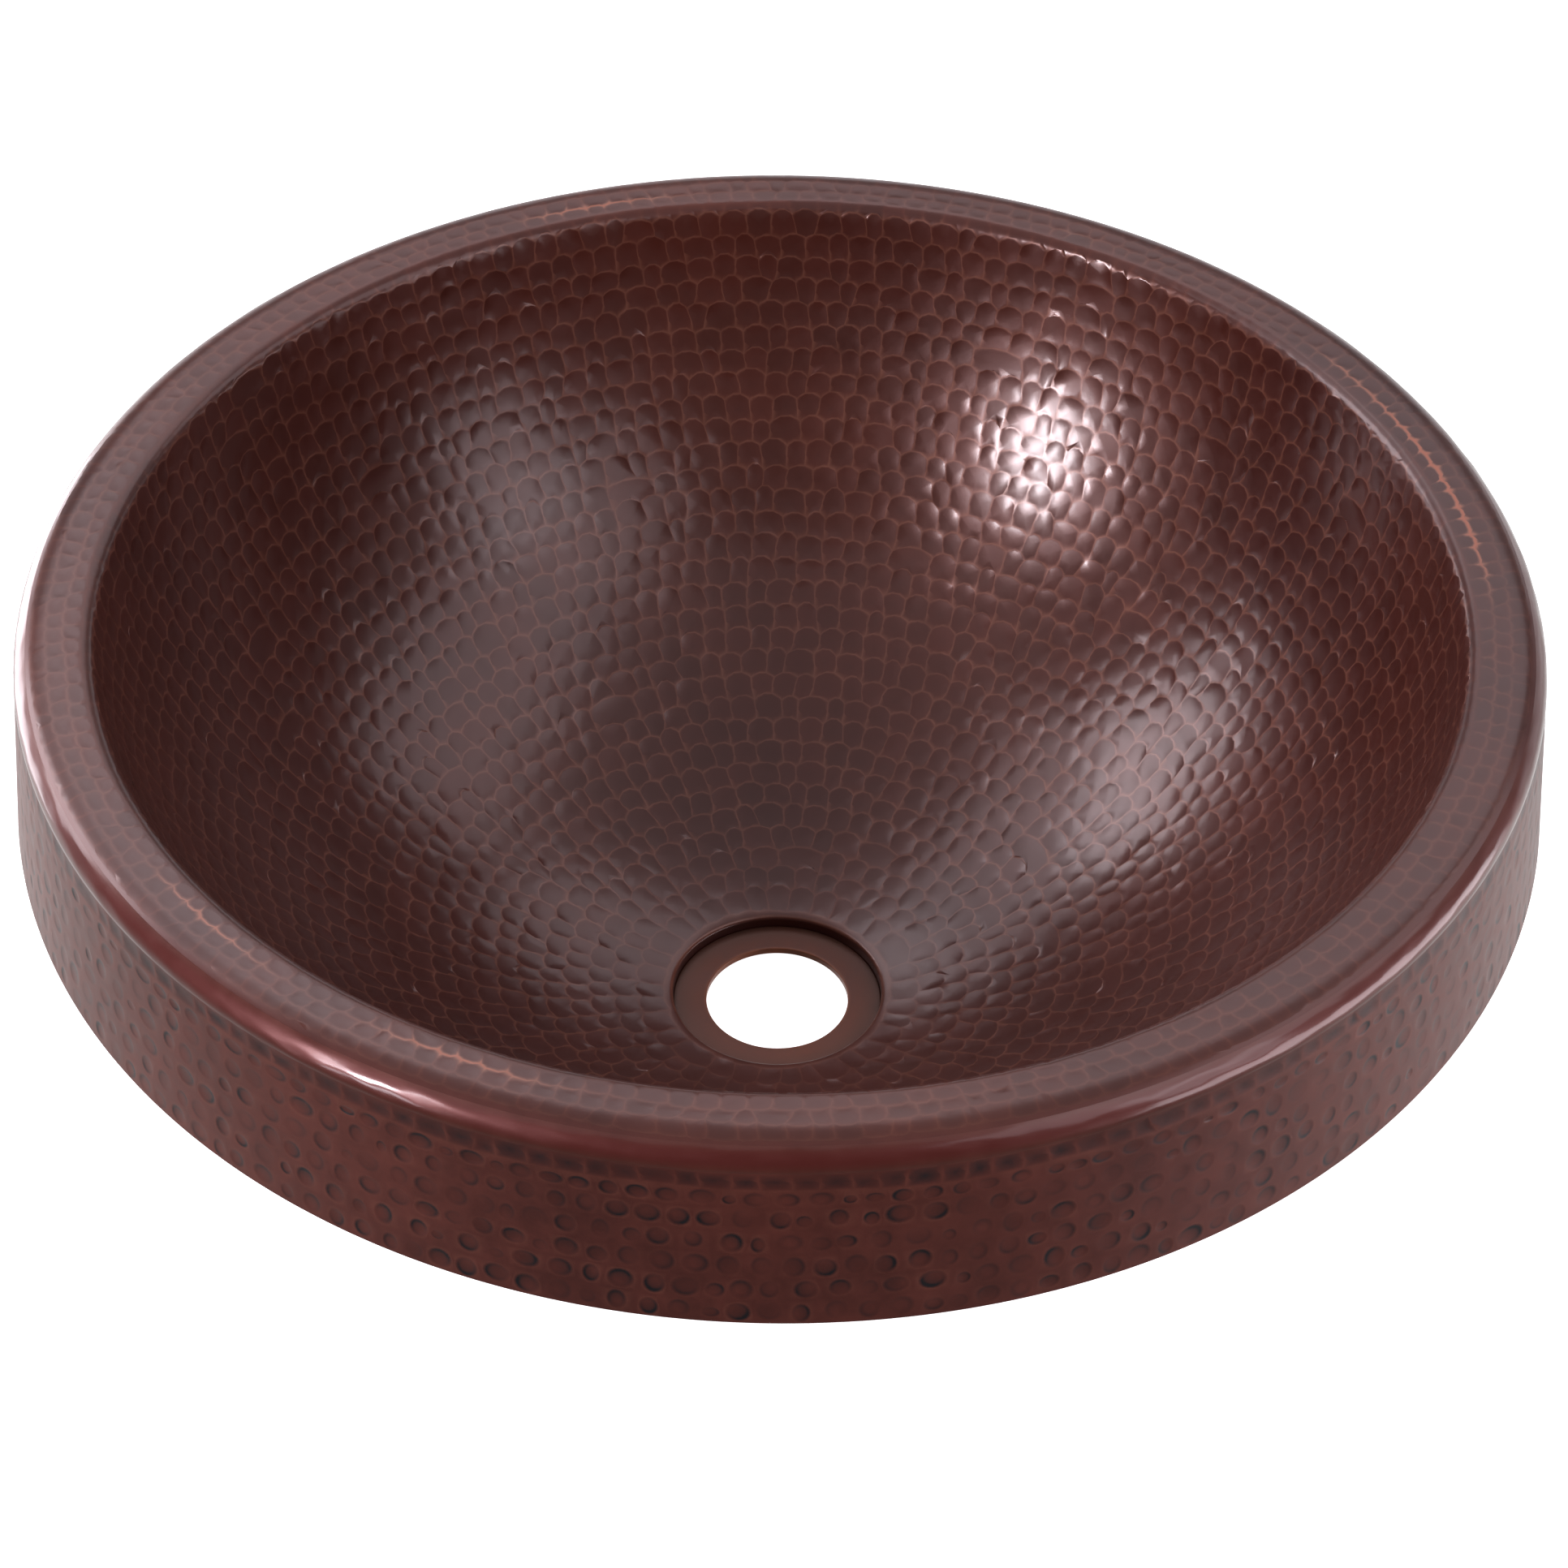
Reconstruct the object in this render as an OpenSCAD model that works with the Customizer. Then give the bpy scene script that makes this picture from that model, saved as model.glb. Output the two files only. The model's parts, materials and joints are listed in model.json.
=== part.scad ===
// Skirted hammered copper basin: a deep round bowl of sheet copper whose rim turns over and
// down, a welded apron band around it, and a flat drain seat brazed into the lip of its floor.
// Millimetres, +Z up. The origin is on the bowl's axis, at the underside of the drain seat.
// The hammer marks are surface texture, so this model carries the smooth sheet they were struck in.

/* [Rim] */
// Outer diameter at the rim's rounded corner
rim_d = 381; // [372:1:420]
// Diameter of the bowl's mouth, at the rim's inner edge
opening_d = 340; // [310:1:352]
// Radius of the rim's inner edge, on the outside of the bend
edge_r = 4; // [2.5:0.5:7]
// Radius of the rim's outer corner, on the outside of the bend
corner_r = 7.6; // [4:0.2:12]

/* [Sheet and bowl] */
// Thickness of the copper sheet
sheet_t = 1.5; // [1:0.1:2]
// Radius of the sphere that the inside of the bowl follows
bowl_r = 174.5; // [172:0.5:200]

/* [Skirt] */
// Height of the skirt, from the rim's top to the lower edge
skirt_h = 52; // [30:1:80]
// How far the skirt leans out from plumb as it goes down, in degrees
skirt_lean = 4.5; // [0.5:0.5:8]
// Width of the vertical weld that closes the skirt band
seam_w = 3; // [2:0.5:6]
// How far around the outer corner the rim's sheet turns before the weld, in degrees
weld_from = 35; // [20:5:50]

/* [Drain] */
// Diameter of the drain hole
drain_d = 38.1; // [32:0.1:46]
// Diameter of the recess around the hole, inside the turned-down lip
recess_d = 56; // [50:1:60]
// Radius of the lip's bend, on the side seen from above
lip_r = 2.2; // [2.1:0.1:3]
// Height of the lip's straight wall that shows above the drain seat
lip_wall = 1.5; // [1:0.1:4]
// Thickness of the flat ring that forms the drain seat
seat_t = 2; // [1.5:0.1:4]
// Width and depth of the brazed groove around the seat's underside
braze_w = 1; // [0.4:0.1:1.4]

/* [Hidden] */
$fn = 256;

BOWL_COLOR = [0.27, 0.14, 0.13];
WELD_COLOR = [0.36, 0.14, 0.12];
SKIRT_COLOR = [0.31, 0.17, 0.15];
SEAT_COLOR = [0.42, 0.24, 0.17];
BRAZE_COLOR = [0.60, 0.45, 0.30];

// Margin by which a cutting shape reaches past what it cuts
over = 5;

rim_r = rim_d / 2;
recess_r = recess_d / 2;
drain_r = drain_d / 2;

// Heights and radii below are measured from the rim's top plane, z = 0, and lifted at the end.
// Centre of the rim's inner edge bend
edge_x = opening_d / 2 + edge_r;
edge_z = -edge_r;
// Height of the bowl sphere's centre, where the sphere just touches the edge bend
bowl_z = edge_z + sqrt(pow(bowl_r + edge_r, 2) - pow(edge_x, 2));
// Centre of the lip's bend, which the sphere just touches too
lip_x = recess_r + lip_r;
lip_z = bowl_z - sqrt(pow(bowl_r + lip_r, 2) - pow(lip_x, 2));
// Centre of the rim's outer corner bend
corner = [rim_r - corner_r, -corner_r];
// Top of the drain seat, and the whole height of the basin
seat_z = lip_z - lip_wall;
total_h = seat_t - seat_z;

// Directions, in degrees, in which the sheet passes from one bend to the next
edge_dir = atan2(edge_z - bowl_z, edge_x);
lip_dir = atan2(lip_z - bowl_z, lip_x);

function polar(angle, r) = [r * cos(angle), r * sin(angle)];

// A bent strip of sheet: a ring about a centre, kept between two directions
module bend(center, r_in, r_out, from, to) {
    reach = 2 * r_out;
    translate(center)
        intersection() {
            difference() {
                circle(r = r_out);
                circle(r = r_in);
            }
            polygon([[0, 0], polar(from, reach), polar((from + to) / 2, reach), polar(to, reach)]);
        }
}

// The outer corner's bend between two angles from the rim's top
module corner_bend(from, to) {
    bend(corner, corner_r - sheet_t, corner_r, 90 - to, 90 - from);
}

// The bowl's sheet, from the drain recess up over the rim to the weld
module bowl_profile() {
    translate([recess_r, -total_h]) square([sheet_t, lip_wall + seat_t]);
    bend([lip_x, lip_z], lip_r - sheet_t, lip_r, lip_dir + 180, 180);
    bend([0, bowl_z], bowl_r, bowl_r + sheet_t, lip_dir, edge_dir);
    bend([edge_x, edge_z], edge_r - sheet_t, edge_r, 90, edge_dir + 180);
    translate([edge_x, -sheet_t]) square([corner[0] - edge_x, sheet_t]);
    corner_bend(0, weld_from);
}

// The skirt's sheet: straight down from the end of the corner's bend to an edge that is cut level
module skirt_profile() {
    function foot(p) = [p[0] + (p[1] + skirt_h) * tan(skirt_lean), -skirt_h];
    outer_top = corner + polar(skirt_lean, corner_r);
    inner_top = corner + polar(skirt_lean, corner_r - sheet_t);
    polygon([outer_top, foot(outer_top), foot(inner_top), inner_top]);
}

module revolve() {
    translate([0, 0, total_h]) rotate_extrude() children();
}

// The upright slot at the back of the skirt band, where its two ends meet
module seam_slot() {
    translate([-seam_w / 2, 0, total_h - skirt_h - over])
        cube([seam_w, rim_r + skirt_h, skirt_h + over]);
}

module bowl_shell() {
    color(BOWL_COLOR) revolve() bowl_profile();
}

// Weld metal that joins the rim to the skirt around the corner, ground flush
module rim_weld() {
    color(WELD_COLOR) revolve() corner_bend(weld_from, 90 - skirt_lean);
}

module skirt_band() {
    color(SKIRT_COLOR)
        difference() {
            revolve() skirt_profile();
            seam_slot();
        }
}

module skirt_seam_weld() {
    color(WELD_COLOR)
        intersection() {
            revolve() skirt_profile();
            seam_slot();
        }
}

// The seat's ring, with its lower outer edge chamfered for the brazing
module drain_seat_ring() {
    color(SEAT_COLOR)
        rotate_extrude()
            polygon([
                [drain_r, 0],
                [recess_r - braze_w, 0],
                [recess_r, braze_w],
                [recess_r, seat_t],
                [drain_r, seat_t]
            ]);
}

// Brazing that fills the groove between the seat's chamfer and the lip's wall
module drain_braze_ring() {
    color(BRAZE_COLOR)
        rotate_extrude()
            polygon([[recess_r - braze_w, 0], [recess_r, 0], [recess_r, braze_w]]);
}

bowl_shell();
rim_weld();
skirt_band();
skirt_seam_weld();
drain_seat_ring();
drain_braze_ring();
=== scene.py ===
import json
import math
import random
from bisect import bisect_left
from collections import namedtuple

import bmesh
import bpy
from mathutils import Matrix, Vector, noise


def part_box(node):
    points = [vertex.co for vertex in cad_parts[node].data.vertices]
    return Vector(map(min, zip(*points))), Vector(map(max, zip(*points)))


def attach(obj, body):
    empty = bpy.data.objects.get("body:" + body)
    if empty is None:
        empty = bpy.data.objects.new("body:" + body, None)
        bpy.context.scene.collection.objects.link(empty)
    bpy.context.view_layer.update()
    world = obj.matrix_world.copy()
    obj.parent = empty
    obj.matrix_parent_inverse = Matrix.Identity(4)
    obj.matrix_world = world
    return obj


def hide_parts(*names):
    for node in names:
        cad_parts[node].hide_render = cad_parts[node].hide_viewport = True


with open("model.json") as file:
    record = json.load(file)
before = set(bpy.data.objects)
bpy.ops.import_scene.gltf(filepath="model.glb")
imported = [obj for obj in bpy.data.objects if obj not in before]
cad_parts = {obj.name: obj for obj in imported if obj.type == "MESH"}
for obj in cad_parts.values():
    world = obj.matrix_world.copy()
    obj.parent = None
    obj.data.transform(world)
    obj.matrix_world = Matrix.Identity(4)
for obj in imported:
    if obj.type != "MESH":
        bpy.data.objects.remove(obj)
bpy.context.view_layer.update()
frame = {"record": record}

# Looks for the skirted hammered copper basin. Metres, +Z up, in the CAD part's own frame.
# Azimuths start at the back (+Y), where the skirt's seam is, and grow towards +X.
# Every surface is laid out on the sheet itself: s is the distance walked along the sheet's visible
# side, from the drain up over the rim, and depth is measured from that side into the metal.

MM = 0.001
TAU = 2 * math.pi
SEED = 1932
# Slack for comparing azimuths, and for keeping clear of the joint between two parts of a profile
TINY = 1e-9

# -------------------------------- dimensions

# Driving dimensions, the same as the CAD part's
SHEET = 1.5 * MM
BOWL_R = 174.5 * MM
MOUTH_R = 170 * MM
EDGE_R = 4 * MM
CORNER_R = 7.6 * MM
SEAM_W = 3 * MM
GROOVE_W = 1 * MM
LEAN = math.radians(4.5)
WELD_FROM = math.radians(35)
# The bend of the lip round the drain, on its visible side, which is tighter than the CAD part's
LIP_R = 1.3 * MM

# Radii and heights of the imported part
TOP_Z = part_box("bowl_shell")[1].z
SKIRT_LOW, SKIRT_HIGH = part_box("skirt_band")
FOOT_R = SKIRT_HIGH.x
FOOT_Z = SKIRT_LOW.z
RECESS_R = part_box("drain_seat_ring")[1].x
SEAT_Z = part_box("drain_seat_ring")[1].z
HOLE_R = next(m["dims"]["r_mm"] for m in frame["record"]["mounts"] if m["name"] == "drain_hole") * MM
SKIRT_TOP_R = FOOT_R - (SKIRT_HIGH.z - FOOT_Z) * math.tan(LEAN)
CORNER_X = SKIRT_TOP_R - CORNER_R * math.cos(LEAN)
CORNER_Z = TOP_Z - CORNER_R
RIM_R = CORNER_X + CORNER_R

# -------------------------------- meshes

Spot = namedtuple("Spot", "azimuth s index")
# Edges sharper than this stay hard
SHARP_FROM = math.radians(55)


class Profile:
    """The visible side of a turned sheet as a line in the (radius, height) plane.

    Its visible side lies to the left of the walk.
    """

    def __init__(self):
        self.starts = []
        self.parts = []
        self.length = 0.0

    def _add(self, length, place):
        self.starts.append(self.length)
        self.parts.append(place)
        self.length += length

    def line(self, start, end):
        (r0, z0), (r1, z1) = start, end
        length = math.hypot(r1 - r0, z1 - z0)
        ur, uz = (r1 - r0) / length, (z1 - z0) / length
        self._add(length, lambda t: (r0 + ur * t, z0 + uz * t, -uz, ur))

    def arc(self, centre, radius, start, end):
        turn = math.copysign(1.0, end - start)

        def place(t):
            angle = start + turn * t / radius
            c, s = math.cos(angle), math.sin(angle)
            return centre[0] + radius * c, centre[1] + radius * s, -turn * c, -turn * s

        self._add(abs(end - start) * radius, place)

    def at(self, s):
        """Radius, height and the two parts of the normal, s along the walk."""
        part = max(0, bisect_left(self.starts, s) - 1)
        return self.parts[part](s - self.starts[part])

    def point(self, azimuth, s, depth=0.0):
        r, z, nr, nz = self.at(s)
        r -= nr * depth
        return Vector((r * math.sin(azimuth), r * math.cos(azimuth), z - nz * depth))


class Sheet:
    """Points and faces of one piece, with the values its material reads."""

    VALUES = ("ridge", "hollow", "polish")

    def __init__(self):
        self.points = []
        self.values = {name: [] for name in self.VALUES}
        self.faces = []
        self.tones = []
        self.dull = []

    def point(self, place, **values):
        self.points.append(place)
        for name in self.VALUES:
            self.values[name].append(values.get(name, 0.0))
        return len(self.points) - 1

    def face(self, corners, tone=0.5, flip=False):
        """Adds a face. A flipped one is on the sheet's hidden side, which was left dull."""
        self.faces.append(tuple(reversed(corners)) if flip else tuple(corners))
        self.tones.append(tone)
        self.dull.append(1.0 if flip else 0.0)

    def build(self, name):
        """The finished object, smooth but for its sharp edges, with its open ends filled."""
        mesh = bpy.data.meshes.new(name)
        mesh.from_pydata(self.points, [], self.faces)
        for value, numbers in self.values.items():
            mesh.attributes.new(value, "FLOAT", "POINT").data.foreach_set("value", numbers)
        for value, numbers in (("tone", self.tones), ("dull", self.dull)):
            mesh.attributes.new(value, "FLOAT", "FACE").data.foreach_set("value", numbers)
        work = bmesh.new()
        work.from_mesh(mesh)
        bmesh.ops.holes_fill(work, edges=work.edges, sides=0)
        bmesh.ops.recalc_face_normals(work, faces=work.faces)
        work.to_mesh(mesh)
        work.free()
        mesh.polygons.foreach_set("use_smooth", [True] * len(mesh.polygons))
        mesh.set_sharp_from_angle(angle=SHARP_FROM)
        piece = bpy.data.objects.new(name, mesh)
        bpy.context.scene.collection.objects.link(piece)
        return piece


class Edge:
    """A line of points across the sheet, sorted by azimuth. A closed one runs on round the bowl."""

    def __init__(self, spots, closed=True):
        self.spots = spots
        self.closed = closed
        self.azimuths = [spot.azimuth for spot in spots]

    def spot(self, k):
        turns, i = divmod(k, len(self.spots))
        spot = self.spots[i]
        return spot._replace(azimuth=spot.azimuth + TAU * turns)

    def nearest(self, azimuth):
        count = len(self.spots)
        turns = math.floor((azimuth - self.azimuths[0]) / TAU) if self.closed else 0
        k = bisect_left(self.azimuths, azimuth - TAU * turns) + turns * count
        if not self.closed:
            k = min(max(k, 1), count - 1)
        before, after = self.spot(k - 1), self.spot(k)
        return k - 1 if azimuth - before.azimuth < after.azimuth - azimuth else k


FULL_TURN = (0.0, TAU)


def goes_round(span):
    """Whether a span of azimuths is a full turn."""
    return span[1] - span[0] > TAU - TINY


def ring(sheet, profile, s, count, depth=0.0, span=FULL_TURN, **values):
    """A plain line of count points at one place along the profile, closed unless it has a span.

    Its depth may be a function of azimuth and s, and each value a function of azimuth.
    """
    closed = goes_round(span)
    steps = count if closed else count - 1
    spots = []
    for i in range(count):
        azimuth = span[0] + (span[1] - span[0]) * i / steps
        inset = depth(azimuth, s) if callable(depth) else depth
        here = {name: value(azimuth) if callable(value) else value for name, value in values.items()}
        spots.append(Spot(azimuth, s, sheet.point(profile.point(azimuth, s, inset), **here)))
    return Edge(spots, closed)


def stitch(sheet, low, high, flip=False):
    """Joins two edges with triangles, always taking the nearer next point."""
    i = j = 0
    extra = 1 if low.closed else 0
    low_end, high_end = len(low.spots) - 1 + extra, len(high.spots) - 1 + extra
    while i < low_end or j < high_end:
        here, there = low.spot(i).index, high.spot(j).index
        step_low = j == high_end or (i < low_end and low.spot(i + 1).azimuth <= high.spot(j + 1).azimuth)
        if step_low:
            i += 1
            sheet.face((here, low.spot(i).index, there), flip=flip)
        else:
            j += 1
            sheet.face((here, high.spot(j).index, there), flip=flip)


def stitch_all(sheet, edges, flip=False):
    for low, high in zip(edges, edges[1:]):
        stitch(sheet, low, high, flip)


def noise_round(azimuth, around, along):
    """Smooth noise, about -1 to 1, that closes up round the axis and varies with along as well."""
    return noise.noise(Vector((around * math.sin(azimuth), around * math.cos(azimuth), along)))


# Unevenness from hand work: its depth, and how fast it varies round the axis and along the profile
Uneven = namedtuple("Uneven", "depth around along")


# -------------------------------- hammer marks

# How a row of marks looks: width of a mark, height of its rounded top, how far marks stray (as a share
# of their width sideways, and in millimetres up and down), how many are missing, the strength of the
# relief and of the bright ridges, the width of the slope between a ridge and the flat of the mark, and
# the number of points along each rounded top
RowStyle = namedtuple("RowStyle", "width arch stray missing relief ridge shoulder steps")
# A row as it was struck: the cusps between its rounded tops, as (azimuth, s), each top's height, and
# how far the foot of each side leans and its middle bows, as azimuths
Row = namedtuple("Row", "cusps arches leans bows style closed")

# How far a row wanders up and down, and how fast it does so round the bowl
ROW_WANDER = 1.1 * MM
WANDER_AROUND = 6
# How much the height of a mark's top varies
ARCH_RANGE = (0.65, 1.3)
# How far the sides of a mark lean, as a share of its width, and how far they bow
SIDE_LEAN = 0.12
SIDE_BOW = 0.35 * MM
# How square the tops are: 2 is a parabola, and more is flatter with steeper ends
ARCH_POWER = 2.3


def strike_row(rng, profile, s, style, span=FULL_TURN):
    """Sets out the marks of one row, with the cusps between their tops along s."""
    closed = goes_round(span)
    radius = profile.at(s)[0]
    count = round((span[1] - span[0]) * radius / style.width)
    step = (span[1] - span[0]) / count
    start = rng.uniform(0, step) if closed else 0.0
    layer = rng.uniform(0, 100)
    cusps, arches, leans, bows = [], [], [], []
    for i in range(count + (0 if closed else 1)):
        at_end = not closed and i in (0, count)
        if not at_end and rng.random() < style.missing:
            continue
        shift = 0.0 if at_end else rng.uniform(-1, 1) * style.stray
        azimuth = span[0] + start + (i + shift) * step
        wander = ROW_WANDER * noise_round(azimuth, WANDER_AROUND, layer)
        cusps.append((azimuth, s + wander + rng.uniform(-1, 1) * style.stray * MM))
        arches.append(style.arch * rng.uniform(*ARCH_RANGE))
        leans.append(0.0 if at_end else rng.uniform(-SIDE_LEAN, SIDE_LEAN) * step)
        bows.append(0.0 if at_end else rng.uniform(-SIDE_BOW, SIDE_BOW) / radius)
    return Row(cusps, arches, leans, bows, style, closed)


# Ridges are rubbed bare, which also paints glints on them, where noise is over a threshold: how fast it
# varies round the rim and across it, the threshold, and how fast the rubbing grows beyond that
BARE_AROUND = 3.6
BARE_ALONG = 60
BARE_FROM = 0.2
BARE_GAIN = 3.5


def rubbed(azimuth, s, ridge):
    """The ridge value at a place, raised over 1 where the ridges are rubbed down to bare copper, which also
    paints glints.
    """
    return ridge + BARE_GAIN * max(0.0, noise_round(azimuth, BARE_AROUND, BARE_ALONG * s) - BARE_FROM)


def arch_edge(sheet, profile, row, steps, depth, ridge=0.0, patches=False):
    """The scalloped line along the tops of a row, with steps points on each arch between its cusps.

    With patches, its ridges are rubbed bare in places, which also paints glints there.
    """
    def spot(azimuth, s):
        worn = rubbed(azimuth, s, ridge) if patches else ridge
        return Spot(azimuth, s, sheet.point(profile.point(azimuth, s, depth), ridge=worn))

    spots = []
    marks = len(row.cusps) - (0 if row.closed else 1)
    for i in range(marks):
        a0, s0 = row.cusps[i]
        a1, s1 = row.cusps[(i + 1) % len(row.cusps)]
        if a1 < a0:
            a1 += TAU
        for j in range(steps + 1):
            u = -math.cos(math.pi * j / (steps + 1))
            share = (u + 1) / 2
            s = s0 + (s1 - s0) * share + row.arches[i] * (1 - abs(u) ** ARCH_POWER)
            spots.append(spot(a0 + (a1 - a0) * share, s))
    if not row.closed:
        spots.append(spot(*row.cusps[-1]))
    return Edge(spots, row.closed)


def mark_outlines(sheet, profile, low, high, row, steps, depth, **values):
    """Each mark of a row as a closed list of spots.

    They run along the row below, up one side, back over the mark's own top and down the other side.
    """
    count = len(row.cusps)
    feet, sides = [], []
    for i in range(count + (1 if row.closed else 0)):
        turns, j = divmod(i, count)
        foot = low.nearest(row.cusps[j][0] + TAU * turns + row.leans[j])
        if not row.closed and j in (0, count - 1):
            foot = 0 if j == 0 else len(low.spots) - 1
        feet.append(foot)
        cusp = high.spot(i * (steps + 1))
        base = low.spot(foot)
        azimuth = (cusp.azimuth + base.azimuth) / 2 + row.bows[j]
        s = (cusp.s + base.s) / 2
        if turns:
            sides.append(sides[0]._replace(azimuth=azimuth))
        else:
            sides.append(Spot(azimuth, s, sheet.point(profile.point(azimuth, s, depth), **values)))
    for i in range(len(feet) - 1):
        below = [low.spot(k) for k in range(feet[i], feet[i + 1] + 1)]
        above = [high.spot(k) for k in range((i + 1) * (steps + 1), i * (steps + 1) - 1, -1)]
        yield below + [sides[i + 1]] + above + [sides[i]]


def middle(outline):
    """The middle of an outline, and half its width as an azimuth."""
    azimuths = [spot.azimuth for spot in outline]
    heights = [spot.s for spot in outline]
    low, high = min(azimuths), max(azimuths)
    return (low + high) / 2, sum(heights) / len(heights), (high - low) / 2


# A mark struck with full relief: the depth round its flat part, how much deeper its middle is and how
# much that varies, how far it tilts, and how square its flat part is
SHOULDER_DEPTH = 0.065 * MM
DISH_DEPTH = 0.028 * MM
DISH_RANGE = (0.7, 1.3)
TILT = 0.009
SQUARENESS = 2.3
# The flat part's limits. The slope around and below it is at least these shares of the shoulder, it
# reaches down at least this share of its reach up, and out at least this share of the way to the crest
SLOPE_AROUND = 0.6
SLOPE_BELOW = 0.7
LEAST_DOWN = 0.5
LEAST_OUT = 0.3
# The share of a mark's width in which the highest point of its lower side is looked for
MIDDLE_SHARE = 0.6
# How dark the patina is round the flat part, where it is 1 in the middle
FLAT_HOLLOW = 0.6
# The least angle between neighbouring points around a mark, which keeps its faces from folding over
LEAST_TURN = 0.03


def dish(sheet, profile, outline, style, rng):
    """One hammer mark: a crest all round, a shoulder, then a shallow, round, slightly askew hollow."""
    a_mid, s_mid, half = middle(outline)
    radius = profile.at(s_mid)[0]
    deepest = DISH_DEPTH * rng.uniform(*DISH_RANGE)
    tilt_x, tilt_y = rng.gauss(0, TILT), rng.gauss(0, TILT)
    tone = rng.random()
    places = [((spot.azimuth - a_mid) * radius, spot.s - s_mid) for spot in outline]
    wide = half * radius - style.shoulder
    up = max(y for x, y in places) - style.shoulder
    nearest_below = max((y for x, y in places if y < 0 and abs(x) < MIDDLE_SHARE * wide), default=-up)
    down = max(-nearest_below - SLOPE_BELOW * style.shoulder, LEAST_DOWN * up)
    inner = []
    turn = math.atan2(places[0][1], places[0][0]) - LEAST_TURN
    for x, y in places:
        reach = math.hypot(x, y)
        angle = math.atan2(y, x)
        angle += TAU * round((turn - angle) / TAU)
        turn = max(angle, turn + LEAST_TURN)
        c, n = math.cos(turn), math.sin(turn)
        tall = up if n > 0 else down
        flat = (abs(c / wide) ** SQUARENESS + abs(n / tall) ** SQUARENESS) ** (-1 / SQUARENESS)
        size = max(min(reach - SLOPE_AROUND * style.shoulder, flat), LEAST_OUT * reach)
        x, y = size * c, size * n
        depth = style.relief * (SHOULDER_DEPTH + tilt_x * x + tilt_y * y)
        place = profile.point(a_mid + x / radius, s_mid + y, max(depth, 0.0))
        inner.append(sheet.point(place, hollow=FLAT_HOLLOW))
    centre_depth = style.relief * (SHOULDER_DEPTH + deepest)
    centre = sheet.point(profile.point(a_mid, s_mid, centre_depth), hollow=1.0)
    for i, spot in enumerate(outline):
        after = (i + 1) % len(outline)
        sheet.face((spot.index, outline[after].index, inner[after], inner[i]), tone)
        sheet.face((inner[i], inner[after], centre), tone)


def bulge(sheet, profile, outline, rng):
    """The back of a hammer mark: a soft bump that stands out of the sheet's hidden side."""
    a_mid, s_mid, _ = middle(outline)
    tone = rng.random()
    centre = sheet.point(profile.point(a_mid, s_mid, SHEET))
    for i, spot in enumerate(outline):
        after = outline[(i + 1) % len(outline)]
        sheet.face((spot.index, after.index, centre), tone, flip=True)


# -------------------------------- the bowl

MARK_PITCH = 6.6 * MM
MARK_STYLE = RowStyle(6.55 * MM, 1.7 * MM, 0.18, 0.01, 1.0, 0.85, 0.5 * MM, 4)
# The first row, close round the lip, has flatter tops and stands this far up from the lip's bend
FIRST_GAP = 1.2 * MM
FIRST_STYLE = MARK_STYLE._replace(arch=0.5 * MM, missing=0.0, ridge=0.6)
# The rim's rows, from the inner edge outwards: distance from the row before, and style
RIM_ROWS = (
    (4.4 * MM, RowStyle(6.2 * MM, 0.3 * MM, 0.16, 0.0, 0.4, 0.3, 1.1 * MM, 2)),
    (4.0 * MM, RowStyle(6.0 * MM, 0.8 * MM, 0.16, 0.0, 0.9, 0.58, 0.9 * MM, 2)),
    (4.4 * MM, RowStyle(5.8 * MM, 0.8 * MM, 0.16, 0.0, 0.9, 0.52, 0.95 * MM, 2)),
    (4.3 * MM, RowStyle(5.6 * MM, 0.7 * MM, 0.16, 0.02, 0.6, 0.4, 0.95 * MM, 2)),
)
# Which of the rim's rows, counted from 1, has its ridges rubbed bare in places, which also paints glints
BARE_ROW = 2
# Marks fade towards the drain, over this distance from the lip and down to this relief
CALM_LENGTH = 30 * MM
CALM_RELIEF = 0.55
# Points round the lip and round the rim
LIP_COUNT = 120
RIM_COUNT = 240
# How dark the painted shade is at the recess wall's foot and at its top
WALL_SHADE = (2.0, 1.4)
# The rings over the lip's bend, as (share of the bend, ridge), and the rings from the last row out to
# the weld, as (share of the gap, polish)
LIP_RINGS = ((0.25, 0.5), (0.5, 0.95), (0.75, 0.7), (1.0, 0.3))
OUTER_RINGS = ((0.5, 0.15), (1.0, 0.25))
# The hidden side: points along each mark's top, how deep the lines between its bumps are, and how
# bright those lines are
BACK_STEPS = 1
BACK_VALLEY = 0.16 * MM
BACK_RIDGE = 0.3


def basin_profile():
    """The visible side of the bowl's sheet, from the foot of the drain recess to the corner weld."""
    edge = (MOUTH_R + EDGE_R, TOP_Z - EDGE_R)
    bowl_z = edge[1] + math.sqrt((BOWL_R + EDGE_R) ** 2 - edge[0] ** 2)
    lip_x = RECESS_R + LIP_R
    lip_z = bowl_z - math.sqrt((BOWL_R + LIP_R) ** 2 - lip_x ** 2)
    lip_turn = math.atan2(lip_z - bowl_z, lip_x)
    edge_turn = math.atan2(edge[1] - bowl_z, edge[0])
    profile = Profile()
    profile.line((RECESS_R, 0.0), (RECESS_R, lip_z))
    profile.arc((lip_x, lip_z), LIP_R, math.pi, math.pi + lip_turn)
    profile.arc((0.0, bowl_z), BOWL_R, lip_turn, edge_turn)
    profile.arc(edge, EDGE_R, math.pi + edge_turn, math.pi / 2)
    profile.line((edge[0], TOP_Z), (CORNER_X, TOP_Z))
    profile.arc((CORNER_X, CORNER_Z), CORNER_R, math.pi / 2, math.pi / 2 - WELD_FROM)
    return profile


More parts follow.
